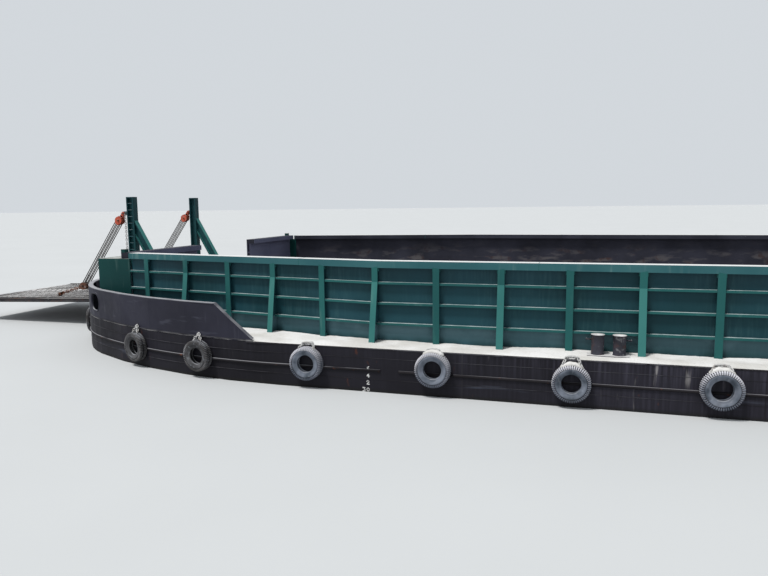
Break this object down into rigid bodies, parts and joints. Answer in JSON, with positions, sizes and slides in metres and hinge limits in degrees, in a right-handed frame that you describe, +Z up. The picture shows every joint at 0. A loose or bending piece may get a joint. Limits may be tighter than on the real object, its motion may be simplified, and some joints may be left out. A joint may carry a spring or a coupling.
{
  "type": "river deck cargo barge with side boards and bow ramp, 1:2 scale model",
  "caption": "Flat-decked cargo barge with ribbed side boards, flared bow bulwarks, hinged bow ramp on wire tackles, tyre fenders and bollards, as a 1:2 model.",
  "frame": {"origin": "midpoint of the flat keel: half the hull's length from the stern, on the centreline, on the bottom plating", "axes": "+X towards the bow and its ramp, +Y to port, +Z up"},
  "size_m": [39.1489, 10.023, 4.3785],
  "materials": {
    "hull_black": "worn matt black paint",
    "board_green": "worn dark green paint",
    "rail_green": "worn green paint",
    "wall_dark": "worn dark paint",
    "rubber": "weathered rubber",
    "fitting_grey": "scuffed dark paint",
    "block_orange": "orange paint with rust",
    "block_rust": "rusty",
    "ramp_steel": "scraped dark steel"
  },
  "bodies": {
    "hull": {"hull_bow": "hull_black", "hull_midbody": "hull_black", "hull_stern": "hull_black", "skeg_port": "hull_black", "skeg_starboard": "hull_black", "bulwark_port": "hull_black", "bulwark_starboard": "hull_black", "side_board_1_port": "board_green", "side_board_1_starboard": "board_green", "side_board_2_port": "board_green", "side_board_2_starboard": "board_green", "side_board_3_port": "board_green", "side_board_3_starboard": "board_green", "side_board_4_port": "board_green", "side_board_4_starboard": "board_green", "side_board_bow_port": "board_green", "side_board_bow_starboard": "board_green", "aft_wall": "board_green", "front_wall_port": "wall_dark", "front_wall_starboard": "wall_dark", "deck_sheathing": "ramp_steel", "wing_locker_port": "board_green", "wing_locker_starboard": "board_green", "ramp_post_port": "rail_green", "ramp_post_starboard": "rail_green", "ramp_hinge_lugs": "fitting_grey", "fender_bow_port": "rubber", "fender_bow_starboard": "rubber", "fender_1_port": "rubber", "fender_1_starboard": "rubber", "fender_2_port": "rubber", "fender_2_starboard": "rubber", "fender_3_port": "rubber", "fender_3_starboard": "rubber", "fender_4_port": "rubber", "fender_4_starboard": "rubber", "bollard_fore_port": "fitting_grey", "bollard_fore_starboard": "fitting_grey", "bollard_forward_port": "fitting_grey", "bollard_forward_starboard": "fitting_grey", "bollard_midship_port": "fitting_grey", "bollard_midship_starboard": "fitting_grey", "bollard_after_port": "fitting_grey", "bollard_after_starboard": "fitting_grey", "bollard_stern_port": "fitting_grey", "bollard_stern_starboard": "fitting_grey"},
    "ramp": {"ramp_plate": "ramp_steel", "ramp_grillage": "ramp_steel"},
    "tackle_head_port": {"head_block_port": "block_orange"},
    "tackle_head_starboard": {"head_block_starboard": "block_orange"},
    "tackle_foot_port": {"hoist_link_port": "block_rust"},
    "tackle_foot_starboard": {"hoist_link_starboard": "block_rust"}
  },
  "joints": [
    {"name": "ramp_hinge", "type": "hinge", "parent": "hull", "child": "ramp", "pos_m": [17.625, 0, 2.085], "axis": [0, -1, 0], "range_deg": [-5, 55]},
    {"name": "head_block_port_swing", "type": "hinge", "parent": "hull", "child": "tackle_head_port", "pos_m": [17.4, 1.24, 4.025], "axis": [0, -1, 0], "range_deg": [-2.65, 29.2]},
    {"name": "head_block_starboard_swing", "type": "hinge", "parent": "hull", "child": "tackle_head_starboard", "pos_m": [17.4, -1.24, 4.025], "axis": [0, -1, 0], "range_deg": [-2.65, 29.2]},
    {"name": "hoist_link_port_swing", "type": "hinge", "parent": "ramp", "child": "tackle_foot_port", "pos_m": [19.30345, 1.24, 2.17469], "axis": [0, -1, 0], "range_deg": [-63.2, 5.75]},
    {"name": "hoist_link_starboard_swing", "type": "hinge", "parent": "ramp", "child": "tackle_foot_starboard", "pos_m": [19.30345, -1.24, 2.17469], "axis": [0, -1, 0], "range_deg": [-63.2, 5.75]}
  ],
  "couplings": [
    {"joint": "head_block_port_swing", "follows": "ramp_hinge", "ratio": 0.531},
    {"joint": "head_block_starboard_swing", "follows": "ramp_hinge", "ratio": 0.531},
    {"joint": "hoist_link_port_swing", "follows": "ramp_hinge", "ratio": -1.149},
    {"joint": "hoist_link_starboard_swing", "follows": "ramp_hinge", "ratio": -1.149}
  ]
}
